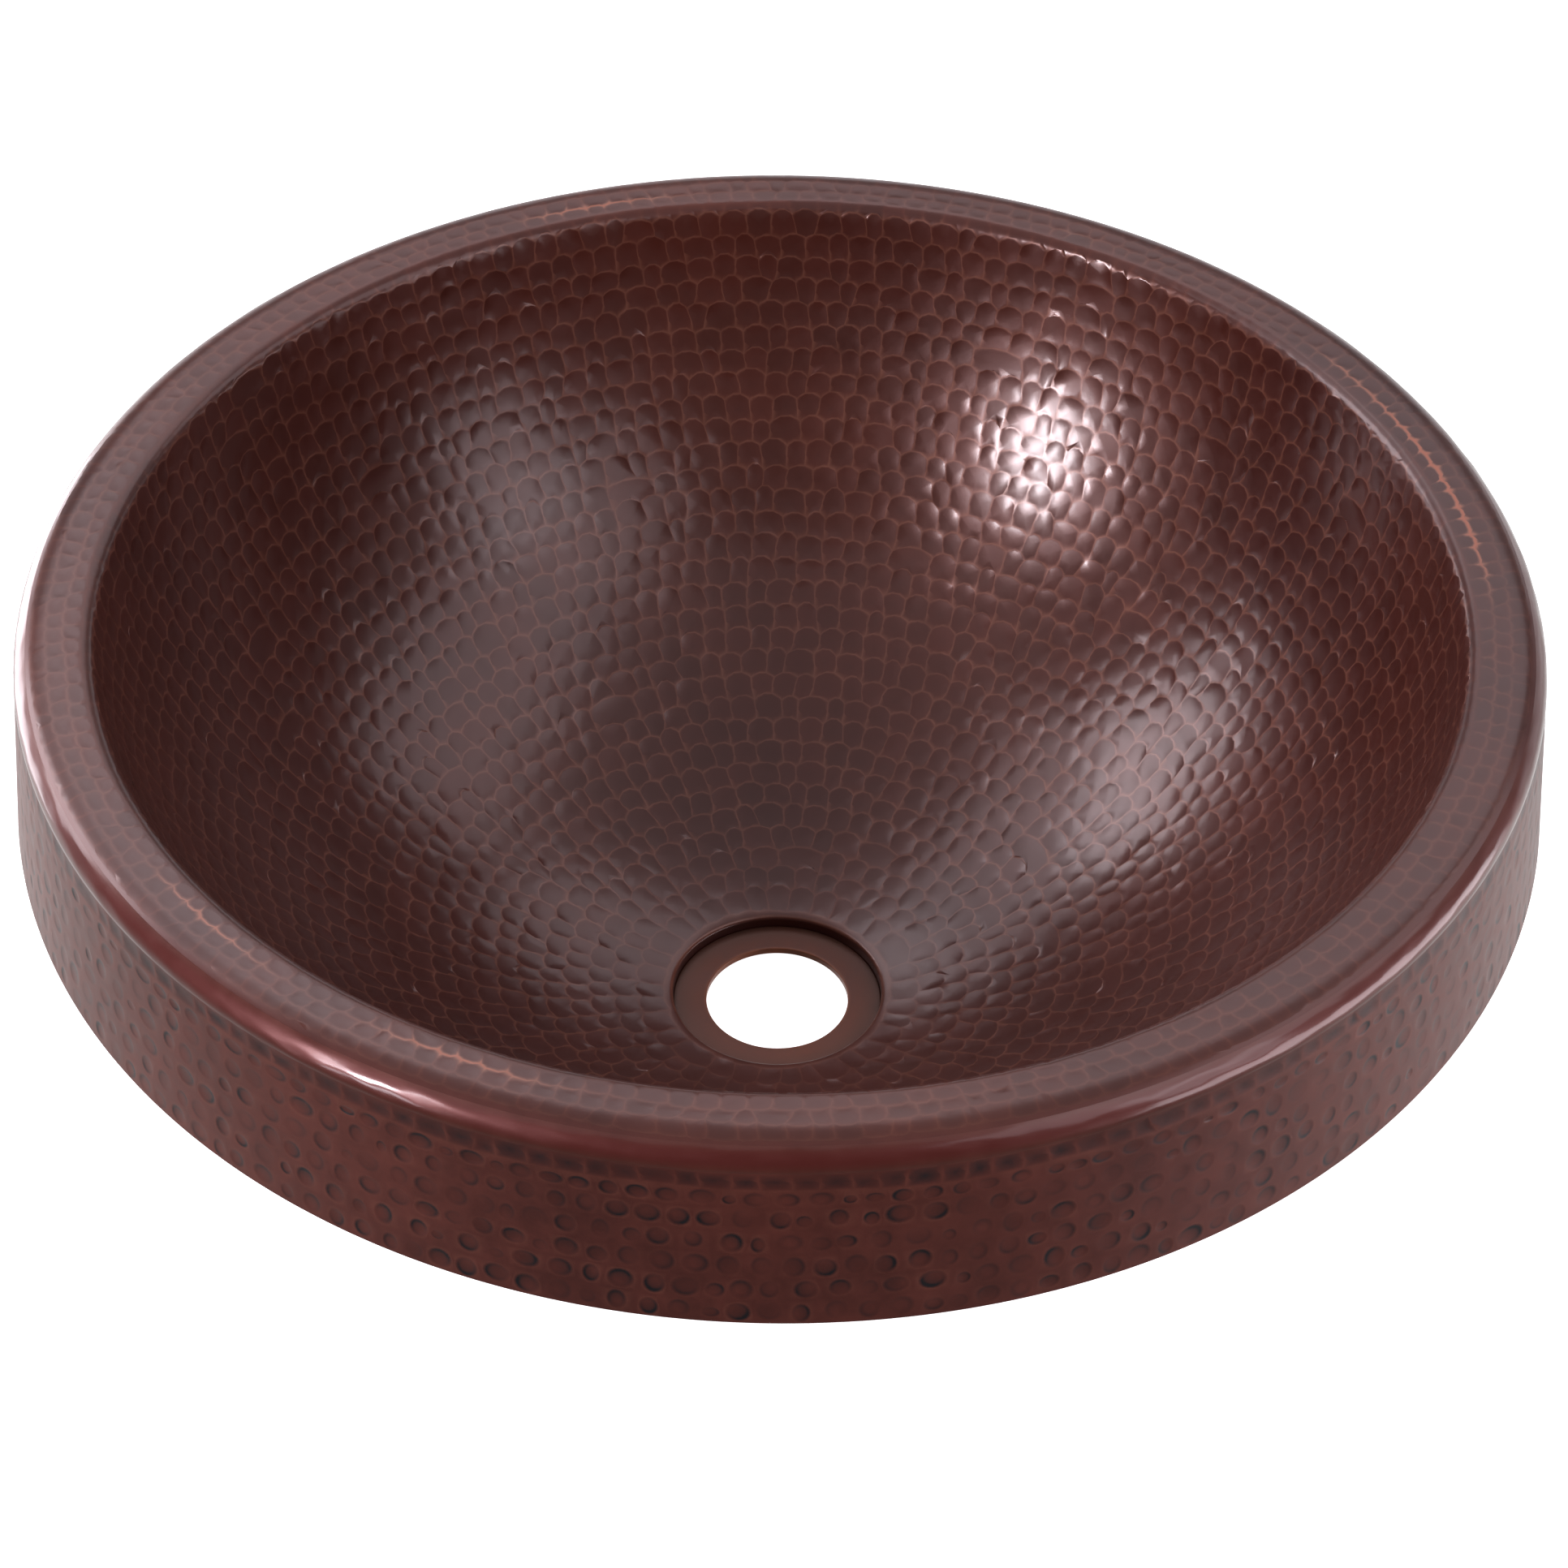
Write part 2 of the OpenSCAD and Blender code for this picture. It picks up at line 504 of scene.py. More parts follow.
def bowl_rows(rng, profile):
    """Every row of marks from the drain to the rim's outer corner, and how many are on the wall."""
    first, last = profile.starts[2] + FIRST_GAP, profile.starts[3]
    count = round((last - first) / MARK_PITCH)
    rows = [strike_row(rng, profile, first, FIRST_STYLE)]
    for i in range(1, count + 1):
        s = first + (last - first) * i / count
        calm = min(1.0, (s - first) / CALM_LENGTH)
        relief = CALM_RELIEF + (1 - CALM_RELIEF) * calm
        style = MARK_STYLE._replace(relief=relief, ridge=relief * MARK_STYLE.ridge)
        rows.append(strike_row(rng, profile, s, style))
    s = last
    for pitch, style in RIM_ROWS:
        s += pitch
        rows.append(strike_row(rng, profile, s, style))
    return rows, count + 1


def bowl_front(sheet, profile, rows, wall_rows, rng):
    """The bowl's visible side. Returns its first and last edges."""
    wall, lip, sphere = profile.starts[:3]
    # The recess wall's two rings carry painted shade, darkest at its foot
    edges = [ring(sheet, profile, s, LIP_COUNT, hollow=dark) for s, dark in zip((wall, lip), WALL_SHADE)]
    for share, ridge in LIP_RINGS:
        edges.append(ring(sheet, profile, lip + share * (sphere - lip), LIP_COUNT, ridge=ridge))
    low = arch_edge(sheet, profile, rows[0], FIRST_STYLE.steps, 0.0, ridge=FIRST_STYLE.ridge)
    stitch_all(sheet, edges + [low])
    for i, row in enumerate(rows[1:], 1):
        steps, ridge = row.style.steps, row.style.ridge
        high = arch_edge(sheet, profile, row, steps, 0.0, ridge, patches=i == wall_rows + BARE_ROW - 1)
        for outline in mark_outlines(sheet, profile, low, high, row, steps, 0.0, ridge=ridge):
            dish(sheet, profile, outline, row.style, rng)
        low = high
    gap = profile.length - rows[-1].cusps[0][1]
    outer = [low]
    for share, polish in OUTER_RINGS:
        outer.append(ring(sheet, profile, profile.length - gap * (1 - share), RIM_COUNT, polish=polish))
    stitch_all(sheet, outer)
    return edges[0], outer[-1]


def bowl_back(sheet, profile, rows, rng):
    """The bowl's hidden side, with the marks showing through. Returns its first and last edges."""
    wall, _, sphere, edge, flat, corner = profile.starts
    valley = SHEET - BACK_VALLEY
    edges = [ring(sheet, profile, s, LIP_COUNT, SHEET) for s in (wall, sphere)]
    low = arch_edge(sheet, profile, rows[0], BACK_STEPS, valley, ridge=BACK_RIDGE)
    stitch_all(sheet, edges + [low], flip=True)
    for row in rows[1:]:
        high = arch_edge(sheet, profile, row, BACK_STEPS, valley, ridge=BACK_RIDGE)
        for outline in mark_outlines(sheet, profile, low, high, row, BACK_STEPS, valley, ridge=BACK_RIDGE):
            bulge(sheet, profile, outline, rng)
        low = high
    outer = [low]
    halfway, end = (corner + profile.length) / 2, profile.length
    for s in (edge + EDGE_R / 2, edge + EDGE_R, flat, corner, halfway, end):
        outer.append(ring(sheet, profile, s, RIM_COUNT, SHEET))
    stitch_all(sheet, outer, flip=True)
    return edges[0], outer[-1]


def make_bowl():
    """The hammered bowl and rim, one sheet with a visible and a hidden side."""
    rng = random.Random(SEED)
    sheet = Sheet()
    profile = basin_profile()
    rows, wall_rows = bowl_rows(rng, profile)
    front_first, front_last = bowl_front(sheet, profile, rows, wall_rows, rng)
    back_first, back_last = bowl_back(sheet, profile, rows[:wall_rows], rng)
    stitch(sheet, front_first, back_first, flip=True)
    stitch(sheet, front_last, back_last)
    return sheet.build("hammered_bowl")


# -------------------------------- the corner weld

# Points round the weld, and steps down its visible side, of which the hidden side has every third
WELD_COUNT = 480
WELD_RINGS = 12
WELD_BACK_EVERY = 3
# Slow waves left by the grinding, finer ones left by the blows along the weld's foot, and the middle
# that each varies about, as a share of its depth. Here the profile's whole length counts as 1
WELD_WAVE = Uneven(0.14 * MM, 22, 3)
WAVE_MIDDLE = 0.5
WELD_RIPPLE = Uneven(0.1 * MM, 60, 2)
RIPPLE_MIDDLE = 0.6
# The weld's bead stands proud of the round corner by this much two thirds of the way down. The shape
# is one over the greatest value of share ** 2 * (1 - share)
WELD_BEAD = 0.28 * MM
BEAD_SHAPE = 27 / 4
# The polish at the weld's upper edge, how fast it grows from there, and how fast it ends at the skirt
POLISH_START = 0.25
POLISH_RISE = 2.5
POLISH_FALL = 2.6
# Where round the rim the weld has most of its dark polished colour, and how much less it has a quarter turn
# from there. Towards the back the lighter ground shows: painted sheen
LEAST_SHEEN_AT = math.radians(-165)
PAINTED_SHEEN_SWING = 0.35


def corner_profile():
    """The outside of the weld round the corner, walked from the rim down to the skirt."""
    profile = Profile()
    profile.arc((CORNER_X, CORNER_Z), CORNER_R, math.pi / 2 - WELD_FROM, LEAN)
    return profile


def weld_depth(azimuth, share):
    """How deep the weld lies below the round corner, a share of the way down. Above it is negative."""
    wave = WAVE_MIDDLE + noise_round(azimuth, WELD_WAVE.around, WELD_WAVE.along * share)
    ripple = RIPPLE_MIDDLE + noise_round(azimuth, WELD_RIPPLE.around, WELD_RIPPLE.along * share)
    ground = math.sin(math.pi * share) * (WELD_WAVE.depth * wave + WELD_RIPPLE.depth * share * ripple)
    return ground - WELD_BEAD * BEAD_SHAPE * share ** 2 * (1 - share)


def weld_polish_and_sheen(share):
    """The weld's polish a share of the way down, as a function of azimuth, lower towards the back, which is
    painted sheen.
    """
    most = min(1.0, POLISH_START + POLISH_RISE * share, POLISH_FALL * (1 - share))

    def polish(azimuth):
        # Less polish away from the front lets the lighter ground through: painted sheen
        return most * (1 - PAINTED_SHEEN_SWING * (1 - math.cos(azimuth - LEAST_SHEEN_AT)))

    return polish


def make_corner_weld():
    """The ground weld around the outer corner, with the skirt's first blows showing along its foot."""
    sheet = Sheet()
    profile = corner_profile()

    def depth(azimuth, s):
        return weld_depth(azimuth, s / profile.length)

    shares = [i / WELD_RINGS for i in range(WELD_RINGS + 1)]
    front = []
    for share in shares:
        s = profile.length * share
        front.append(ring(sheet, profile, s, WELD_COUNT, depth, polish=weld_polish_and_sheen(share)))
    back = []
    for share in shares[::WELD_BACK_EVERY]:
        back.append(ring(sheet, profile, profile.length * share, RIM_COUNT, SHEET, polish=1.0))
    stitch_all(sheet, front)
    stitch_all(sheet, back, flip=True)
    stitch(sheet, front[0], back[0], flip=True)
    stitch(sheet, front[-1], back[-1])
    return sheet.build("corner_weld")


# -------------------------------- the skirt

# The skirt's rows from the weld down: a row of upright cells, a row of flat dark ovals, then dimples
CELL_ROW = 5.0 * MM
OVAL_ROW = 5.2 * MM
OVAL_SIZES = (3.4 * MM, 2.4 * MM)
DIMPLE_PITCH = 6.4 * MM
CELL_STYLE = RowStyle(6.6 * MM, 0.0, 0.17, 0.02, 1.6, 0.5, 1.0 * MM, 2)
DIMPLE_STYLE = RowStyle(7.1 * MM, 0.0, 0.18, 0.0, 1.0, 0.0, 0.0, 2)
# How hard the dimples are struck, and the range for the ovals
DIMPLE_STRENGTHS = (0.4, 0.6, 0.8, 1.0, 1.2)
OVAL_STRENGTH = (0.5, 1.4)
# A full dimple: points round it, radius and depth
DIMPLE_SIDES = 16
DIMPLE_R = 3.3 * MM
DIMPLE_DEPTH = 0.13 * MM
# How much a dimple's width and height vary, and the most of the room in its patch that it fills
DIMPLE_RANGE = (0.8, 1.15)
DIMPLE_ROOM = 0.95
# The rings of a dimple: size, depth, and how bright a ridge and how dark a hollow each is. The bright ridge
# round the rim is painted highlight; the dark inside is patina
DIMPLE_RINGS = (
    (1.06, 0.0, 0.45, 0.0),
    (0.95, 0.1, 0.25, 0.4),
    (0.76, 0.5, 0.0, 1.35),
    (0.46, 0.85, 0.0, 0.5),
)
# How dark a dimple's middle is, and how much the dark around it changes from side to side
CENTRE_HOLLOW = 0.2
DARK_SWING = 0.45
# Points round the skirt's inside, and steps down it
SKIRT_BACK_COUNT = 240
SKIRT_BACK_RINGS = 6
# Half the seam as an azimuth, points across it, and steps down it
HALF_SEAM = SEAM_W / 2 / FOOT_R
SEAM_COLUMNS = 9
SEAM_RINGS = 96
# The seam's ripples: their pitch, their depth, and how far each bows, as a share of the pitch
SEAM_BEAD = 2.2 * MM
SEAM_RIPPLE = 0.12 * MM
SEAM_BOW = 0.35


def skirt_profile():
    """The skirt's outside, walked from the weld down to its foot, so that the outside is to the left."""
    profile = Profile()
    profile.line((SKIRT_TOP_R, SKIRT_HIGH.z), (FOOT_R, FOOT_Z))
    return profile


def skirt_back(sheet, profile, count, span):
    """The plain inside of the skirt, whose lower edge is level with the outside's."""
    end = profile.length - SHEET * math.tan(LEAN)
    heights = [end * i / SKIRT_BACK_RINGS for i in range(SKIRT_BACK_RINGS + 1)]
    back = [ring(sheet, profile, s, count, SHEET, span) for s in heights]
    stitch_all(sheet, back, flip=True)
    return back


def dimple(sheet, profile, outline, rng, strength, sizes=(DIMPLE_R, DIMPLE_R)):
    """A round hammer dimple in the middle of its patch of ground, darkest along one side."""
    a_mid, s_mid, _ = middle(outline)
    radius = profile.at(s_mid)[0]
    wide, tall = (size * rng.uniform(*DIMPLE_RANGE) for size in sizes)
    places = [((spot.azimuth - a_mid) * radius, spot.s - s_mid) for spot in outline]
    around = [Spot(math.atan2(y, x) % TAU, 0.0, spot.index) for (x, y), spot in zip(places, outline)]
    halfway = [((x + u) / 2, (y + v) / 2) for (x, y), (u, v) in zip(places, places[1:] + places[:1])]
    room = min(math.hypot(x / wide, y / tall) for x, y in places + halfway)
    shrink = min(1.0, DIMPLE_ROOM * room / DIMPLE_RINGS[0][0])
    wide, tall = wide * shrink, tall * shrink
    dark_side = rng.uniform(0, TAU)
    tone = rng.random()
    # These edges run round the dimple's own centre, so their azimuths are angles about it
    rings = [Edge(sorted(around))]
    for size, depth, ridge, hollow in DIMPLE_RINGS:
        spots = []
        for i in range(DIMPLE_SIDES):
            angle = TAU * i / DIMPLE_SIDES
            x, y = wide * size * math.cos(angle), tall * size * math.sin(angle)
            place = profile.point(a_mid + x / radius, s_mid + y, DIMPLE_DEPTH * strength * depth)
            dark = strength * hollow * (1 - DARK_SWING + DARK_SWING * math.cos(angle - dark_side))
            # The ridge value round the dimple's rim is a painted highlight
            spots.append(Spot(angle, 0.0, sheet.point(place, ridge=ridge * strength, hollow=dark)))
        rings.append(Edge(spots))
    stitch_all(sheet, rings)
    bottom = profile.point(a_mid, s_mid, DIMPLE_DEPTH * strength)
    centre = sheet.point(bottom, hollow=CENTRE_HOLLOW * strength)
    for i in range(DIMPLE_SIDES):
        sheet.face((rings[-1].spot(i).index, rings[-1].spot(i + 1).index, centre), tone)


def skirt_mark(sheet, profile, outline, row_number, rng):
    """One mark of a row: a cell in row 1, a flat oval in row 2, and a round dimple below them."""
    if row_number == 1:
        dish(sheet, profile, outline, CELL_STYLE, rng)
    elif row_number == 2:
        dimple(sheet, profile, outline, rng, rng.uniform(*OVAL_STRENGTH), OVAL_SIZES)
    else:
        dimple(sheet, profile, outline, rng, rng.choice(DIMPLE_STRENGTHS))


def make_skirt():
    """The hammered hoop, open at the back where the seam weld fills it."""
    rng = random.Random(SEED + 1)
    sheet = Sheet()
    profile = skirt_profile()
    span = (HALF_SEAM, TAU - HALF_SEAM)
    below = CELL_ROW + OVAL_ROW
    count = round((profile.length - below) / DIMPLE_PITCH)
    levels = [0.0, CELL_ROW] + [below + (profile.length - below) * i / count for i in range(count + 1)]
    edges = []
    for i, s in enumerate(levels):
        style = CELL_STYLE if i <= 2 else DIMPLE_STYLE
        row = strike_row(rng, profile, s, style, span)
        if s in (levels[0], levels[-1]):
            # Straight along the weld and along the foot
            row = row._replace(cusps=[(azimuth, s) for azimuth, _ in row.cusps])
        ridge = CELL_STYLE.ridge if i == 1 else 0.0
        edges.append(arch_edge(sheet, profile, row, style.steps, 0.0, ridge=ridge))
        if i == 0:
            continue
        for outline in mark_outlines(sheet, profile, *edges[-2:], row, style.steps, 0.0, ridge=ridge):
            skirt_mark(sheet, profile, outline, i, rng)
    back = skirt_back(sheet, profile, SKIRT_BACK_COUNT, span)
    stitch(sheet, edges[0], back[0], flip=True)
    stitch(sheet, edges[-1], back[-1])
    return sheet.build("hammered_skirt")


def make_seam():
    """The weld that closes the hoop at the back, dressed flush but still a little rippled."""
    sheet = Sheet()
    profile = skirt_profile()
    span = (-HALF_SEAM, HALF_SEAM)

    def ripple(azimuth, s):
        across = 1 - (azimuth / HALF_SEAM) ** 2
        beads = 0.5 + 0.5 * math.cos(TAU * (s / SEAM_BEAD - SEAM_BOW * across))
        return SEAM_RIPPLE * across * beads

    heights = [profile.length * i / SEAM_RINGS for i in range(SEAM_RINGS + 1)]
    front = [ring(sheet, profile, s, SEAM_COLUMNS, ripple, span, polish=1.0) for s in heights]
    stitch_all(sheet, front)
    back = skirt_back(sheet, profile, SEAM_COLUMNS, span)
    stitch(sheet, front[0], back[0], flip=True)
    stitch(sheet, front[-1], back[-1])
    return sheet.build("skirt_seam")


# -------------------------------- the drain

SEAT_ROUNDING = 0.35 * MM
BRAZE_ROUNDING = 0.12 * MM
SEAT_UNEVEN = Uneven(0.05 * MM, 2, 120)
BRAZE_UNEVEN = Uneven(0.1 * MM, 9, 600)
# The share of the seat's width at which the dark by the recess wall starts, and how fast the worn
# brightness at the hole's edge ends
DARK_FROM = 0.3
WORN_FALL = 8
# Rings over each rounded corner and each straight, and points round the drain
ARC_STEPS = 4
SEAT_STEPS = 12
BRAZE_STEPS = 3
DRAIN_COUNT = 120


def rounded_loop(corners, rounding):
    """A closed profile through corners given clockwise, so that the outside is to the left."""
    profile = Profile()
    count = len(corners)
    joints = []
    for i, corner in enumerate(corners):
        here = Vector(corner)
        back, on = (Vector(corners[i - 1]) - here), (Vector(corners[(i + 1) % count]) - here)
        back.normalize()
        on.normalize()
        half = back.angle(on) / 2
        reach = rounding / math.tan(half)
        centre = here + (back + on).normalized() * (rounding / math.sin(half))
        joints.append((here + back * reach, centre, here + on * reach))
    for i, (start, centre, end) in enumerate(joints):
        first = math.atan2(start.y - centre.y, start.x - centre.x)
        last = math.atan2(end.y - centre.y, end.x - centre.x)
        if last > first:
            last -= TAU
        profile.arc(centre, rounding, first, last)
        profile.line(end, joints[(i + 1) % count][0])
    return profile


def turned_ring(name, profile, line_steps, uneven, wear=None):
    """A closed ring turned from a rounded loop, uneven from hand work. wear(radius) gives its values."""
    def depth(azimuth, s):
        return uneven.depth * (0.5 + 0.5 * noise_round(azimuth, uneven.around, uneven.along * s))

    sheet = Sheet()
    edges = []
    ends = profile.starts[1:] + [profile.length]
    for part, (start, end) in enumerate(zip(profile.starts, ends)):
        is_arc = part % 2 == 0
        steps = ARC_STEPS if is_arc else line_steps
        for i in range(steps):
            s = start + (end - start) * i / steps + TINY
            values = wear(profile.at(s)[0]) if wear else {}
            edges.append(ring(sheet, profile, s, DRAIN_COUNT, depth, **values))
    stitch_all(sheet, edges + [edges[0]])
    return sheet.build(name)


def make_seat():
    """The flat ring that the drain fitting seals on, worn bright at the hole and dark by the wall."""
    def wear(radius):
        share = (radius - HOLE_R) / (RECESS_R - HOLE_R)
        return {"hollow": max(0.0, share - DARK_FROM), "ridge": max(0.0, 1 - WORN_FALL * share)}

    corners = (
        (HOLE_R, SEAT_Z),
        (RECESS_R, SEAT_Z),
        (RECESS_R, GROOVE_W),
        (RECESS_R - GROOVE_W, 0.0),
        (HOLE_R, 0.0),
    )
    return turned_ring("drain_seat", rounded_loop(corners, SEAT_ROUNDING), SEAT_STEPS, SEAT_UNEVEN, wear)


def make_brazing():
    """The bead of brazing around the seat's lower edge, uneven where it flowed."""
    corners = ((RECESS_R - GROOVE_W, 0.0), (RECESS_R, GROOVE_W), (RECESS_R, 0.0))
    return turned_ring("drain_brazing", rounded_loop(corners, BRAZE_ROUNDING), BRAZE_STEPS, BRAZE_UNEVEN)


# -------------------------------- materials

class Nodes:
    """A material's node tree, with short calls for the nodes that the finishes share."""

    def __init__(self, name):
        self.material = bpy.data.materials.new(name)
        self.material.use_nodes = True
        self.tree = self.material.node_tree
        self.shader = self.tree.nodes["Principled BSDF"]
        self.place = self.tree.nodes.new("ShaderNodeTexCoord").outputs["Object"]

    def link(self, source, socket):
        """Joins source to socket, or sets the socket where source is a plain value."""
        if isinstance(source, bpy.types.NodeSocket):
            self.tree.links.new(source, socket)
        else:
            socket.default_value = source

    def value(self, name):
        """One of the values that the mesh carries."""
        node = self.tree.nodes.new("ShaderNodeAttribute")
        node.attribute_name = name
        return node.outputs["Fac"]

    def noise(self, scale, detail, roughness=0.5):
        node = self.tree.nodes.new("ShaderNodeTexNoise")
        node.inputs["Scale"].default_value = scale
        node.inputs["Detail"].default_value = detail
        node.inputs["Roughness"].default_value = roughness
        self.link(self.place, node.inputs["Vector"])
        return node.outputs["Fac"]

    def spread(self, source, low, high, to_low=0.0, to_high=1.0):
        """source from low to high, stretched to run from to_low to to_high and held there outside it."""
        node = self.tree.nodes.new("ShaderNodeMapRange")
        self.link(source, node.inputs["Value"])
        ends = {"From Min": low, "From Max": high, "To Min": to_low, "To Max": to_high}
        for socket, number in ends.items():
            node.inputs[socket].default_value = number
        return node.outputs["Result"]

    def combine(self, kind, first, second):
        """Two numbers joined by the named operation, such as ADD."""
        node = self.tree.nodes.new("ShaderNodeMath")
        node.operation = kind
        self.link(first, node.inputs[0])
        self.link(second, node.inputs[1])
        return node.outputs[0]

    def mix(self, first, second, share):
        node = self.tree.nodes.new("ShaderNodeMix")
        node.data_type = "RGBA"
        self.link(share, node.inputs["Factor"])
        self.link(first, node.inputs["A"])
        self.link(second, node.inputs["B"])
        return node.outputs["Result"]

    def shade(self, colour, brightness):
        node = self.tree.nodes.new("ShaderNodeHueSaturation")
        self.link(brightness, node.inputs["Value"])
        self.link(colour, node.inputs["Color"])
        return node.outputs["Color"]

    def bump(self, height, strength, distance):
        node = self.tree.nodes.new("ShaderNodeBump")
        node.inputs["Strength"].default_value = strength
        node.inputs["Distance"].default_value = distance
        self.link(height, node.inputs["Height"])
        self.link(node.outputs["Normal"], self.shader.inputs["Normal"])


def screen(red, green, blue):
    """A screen colour, 0 to 255 a channel, as the linear colour that shaders take."""
    channels = [c / 255 for c in (red, green, blue)]
    return tuple(c / 12.92 if c < 0.04045 else ((c + 0.055) / 1.055) ** 2.4 for c in channels) + (1.0,)


# A patinated copper finish, in screen colours: the two browns its ground drifts between, the bright
# worn copper, which also paints highlights and glints, the darkest patina, which also paints shade, and
# the polished colour. Then how rough the metal is, how strong and how rough its lacquer is, how strongly
# hollows darken with patina and painted shade, and how much the marks differ in tone
Finish = namedtuple(
    "Finish", "dark light worn sooty polished roughness lacquer lacquer_roughness soot uneven")

# How fine the slow drift of the colour, the mottling and the metal's grain are
DRIFT_SCALE = 9
MOTTLE_SCALE = 130
GRAIN_SCALE = 2600
# The drift's share in the blend of the two browns, beside the mottling
DRIFT_SHARE = 0.65
METALLIC = 0.35
# How fast a ridge's brightness falls off on either side
RIDGE_POWER = 2.0
# The colour of bare copper, also painted glint, and the ridge values at which it starts and is full
BARE_COPPER_AND_GLINT = screen(172, 98, 72)
BARE_RIDGE = (1.0, 1.8)
# How much smoother and rougher than its finish the metal gets with the mottling
SMOOTHEST = -0.06
ROUGHEST = 0.08
# How much rougher the bare hidden sides are
DULL_ROUGHNESS = 0.25
BUMP_STRENGTH = 0.25
BUMP_DEPTH = 0.05 * MM


def patina(nodes, finish, mottle):
    """The ground colour: mottled browns, polished in places, dark in the hollows, uneven in tone. The dark
    is patina in the marks and painted shade on the recess wall; less polish at the weld's back is painted
    sheen.
    """
    drift = nodes.combine("MULTIPLY", nodes.noise(DRIFT_SCALE, 3), DRIFT_SHARE)
    blend = nodes.combine("ADD", drift, nodes.combine("MULTIPLY", mottle, 1 - DRIFT_SHARE))
    ground = nodes.mix(screen(*finish.dark), screen(*finish.light), nodes.spread(blend, 0.34, 0.66))
    ground = nodes.mix(ground, screen(*finish.polished), nodes.value("polish"))
    patch = nodes.spread(mottle, 0.35, 0.65, 0.35, 1.0)
    # Patina in the marks' hollows, and painted shade on the recess wall
    soot = nodes.combine("MULTIPLY", nodes.combine("MULTIPLY", nodes.value("hollow"), patch), finish.soot)
    ground = nodes.mix(ground, screen(*finish.sooty), soot)
    tone = nodes.spread(nodes.value("tone"), 0, 1, 1 - finish.uneven, 1 + finish.uneven)
    return nodes.shade(ground, tone)


def worn_and_highlit_ridges(nodes, finish, mottle, ground):
    """The ground with its ridges worn bright, and down to bare copper where they are rubbed most. Round the
    skirt's dimples the brightness is painted highlight, and the rubbed copper on the rim also paints
    glints.
    """
    ridge = nodes.value("ridge")
    wear = nodes.spread(mottle, 0.3, 0.7, 0.45, 1.0)
    bright = nodes.combine("MULTIPLY", nodes.combine("POWER", ridge, RIDGE_POWER), wear)
    ground = nodes.mix(ground, screen(*finish.worn), bright)
    # Bare copper on the rubbed ridges, partly painted glint
    return nodes.mix(ground, BARE_COPPER_AND_GLINT, nodes.spread(ridge, *BARE_RIDGE))


def copper(name, finish):
    """Patinated copper under lacquer. Ridges are worn bright, hollows hold the dark patina; the same
    colours also paint shade, highlights, glints and sheen.
    """
    nodes = Nodes(name)
    mottle = nodes.noise(MOTTLE_SCALE, 5, 0.65)
    grain = nodes.noise(GRAIN_SCALE, 3, 0.6)
    dull = nodes.value("dull")
    colour = worn_and_highlit_ridges(nodes, finish, mottle, patina(nodes, finish, mottle))
    nodes.link(colour, nodes.shader.inputs["Base Color"])
    smoothest, roughest = finish.roughness + SMOOTHEST, finish.roughness + ROUGHEST
    rough = nodes.spread(mottle, 0.25, 0.75, smoothest, roughest)
    rough = nodes.combine("ADD", rough, nodes.spread(dull, 0, 1, 0.0, DULL_ROUGHNESS))
    nodes.link(rough, nodes.shader.inputs["Roughness"])
    nodes.shader.inputs["Metallic"].default_value = METALLIC
    nodes.link(nodes.spread(dull, 0, 1, finish.lacquer, 0.0), nodes.shader.inputs["Coat Weight"])
    nodes.shader.inputs["Coat Roughness"].default_value = finish.lacquer_roughness
    nodes.bump(nodes.combine("ADD", grain, mottle), BUMP_STRENGTH, BUMP_DEPTH)
    return nodes.material


def bowl_finish():
    return copper("patinated_bowl", Finish(
        dark=(68, 24, 17), light=(95, 41, 28), worn=(138, 86, 68), sooty=(54, 20, 18),
        polished=(96, 27, 21), roughness=0.36, lacquer=0.8, lacquer_roughness=0.21, soot=0.4, uneven=0.1))


def weld_finish():
    return copper("polished_corner", Finish(
        dark=(78, 32, 22), light=(104, 48, 34), worn=(130, 70, 50), sooty=(50, 20, 20),
        polished=(92, 24, 17), roughness=0.38, lacquer=1.0, lacquer_roughness=0.16, soot=0.0, uneven=0.0))


def skirt_finish():
    return copper("dimpled_skirt", Finish(
        dark=(72, 30, 24), light=(110, 51, 40), worn=(132, 78, 62), sooty=(20, 14, 19),
        polished=(100, 29, 22), roughness=0.46, lacquer=0.4, lacquer_roughness=0.34, soot=0.95, uneven=0.1))


def seam_finish():
    return copper("dressed_seam", Finish(
        dark=(84, 42, 30), light=(108, 58, 44), worn=(130, 76, 54), sooty=(40, 24, 24),
        polished=(92, 42, 32), roughness=0.4, lacquer=0.7, lacquer_roughness=0.28, soot=0.3, uneven=0.0))


def seat_finish():
    return copper("drain_seat_copper", Finish(
        dark=(84, 42, 28), light=(118, 62, 40), worn=(150, 86, 56), sooty=(58, 44, 34),
        polished=(100, 56, 38), roughness=0.48, lacquer=0.3, lacquer_roughness=0.35, soot=1.0, uneven=0.0))


def brazing_finish():
    return copper("brazing_metal", Finish(
        dark=(140, 106, 70), light=(180, 148, 100), worn=(190, 160, 110), sooty=(60, 48, 36),
        polished=(140, 106, 70), roughness=0.5, lacquer=0.0, lacquer_roughness=0.4, soot=0.5, uneven=0.0))


def floor_finish():
    """A white that the camera sees as plain as the sky behind it."""
    nodes = Nodes("pale_floor")
    nodes.shader.inputs["Base Color"].default_value = (0.9, 0.9, 0.9, 1.0)
    nodes.shader.inputs["Roughness"].default_value = 0.9
    nodes.shader.inputs["Emission Color"].default_value = (1.0, 1.0, 1.0, 1.0)
    nodes.shader.inputs["Emission Strength"].default_value = 1.0
    return nodes.material


# -------------------------------- scene

